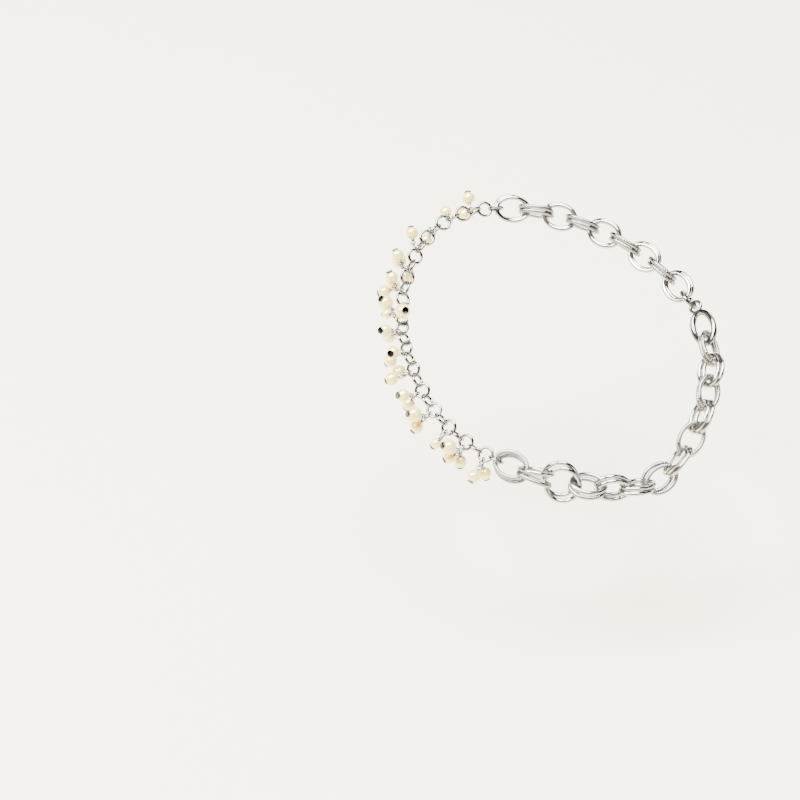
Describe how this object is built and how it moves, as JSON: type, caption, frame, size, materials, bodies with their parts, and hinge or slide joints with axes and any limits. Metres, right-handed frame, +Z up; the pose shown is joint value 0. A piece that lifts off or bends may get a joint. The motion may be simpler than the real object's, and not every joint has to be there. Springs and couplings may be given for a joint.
{
  "type": "pearl anklet",
  "caption": "Chain anklet in silver-coloured metal with a cluster of pearl drops at the front and heavy double oval links round the heel, closed by a clasp.",
  "frame": {"origin": "on the axis of the ankle that the loop sits round, at the middle of the loop", "axes": "+Z up the leg, +X to the heel, -X to the toes, -Y to the outer side of the ankle"},
  "size_m": [0.0957, 0.0783, 0.0418],
  "materials": {
    "silver": "polished, ridged on some links",
    "nacre": "pearl lustre"
  },
  "bodies": {
    "root": {"small_ring_chain": "silver", "pearl_charm_01": "nacre", "pearl_charm_02": "nacre", "pearl_charm_03": "nacre", "pearl_charm_04": "nacre", "pearl_charm_05": "nacre", "pearl_charm_06": "nacre", "pearl_charm_07": "nacre", "pearl_charm_08": "nacre", "pearl_charm_09": "nacre", "pearl_charm_10": "nacre", "pearl_charm_11": "nacre", "pearl_charm_12": "nacre", "pearl_charm_13": "nacre", "pearl_charm_14": "nacre", "pearl_charm_15": "nacre", "pearl_charm_16": "nacre", "double_link_01": "silver", "double_link_02": "silver", "polished_round_ring": "silver", "double_link_04": "silver", "double_link_05": "silver", "double_link_06": "silver", "double_link_07": "silver", "double_link_08": "silver", "double_link_09": "silver", "double_link_10": "silver", "double_link_11": "silver", "double_link_12": "silver", "double_link_13": "silver", "double_link_14": "silver", "double_link_15": "silver", "double_link_16": "silver", "double_link_17": "silver", "double_link_18": "silver", "double_link_19": "silver", "double_link_20": "silver", "double_link_21": "silver", "double_link_22": "silver", "clasp": "silver", "clasp_ring": "silver"}
  },
  "joints": []
}
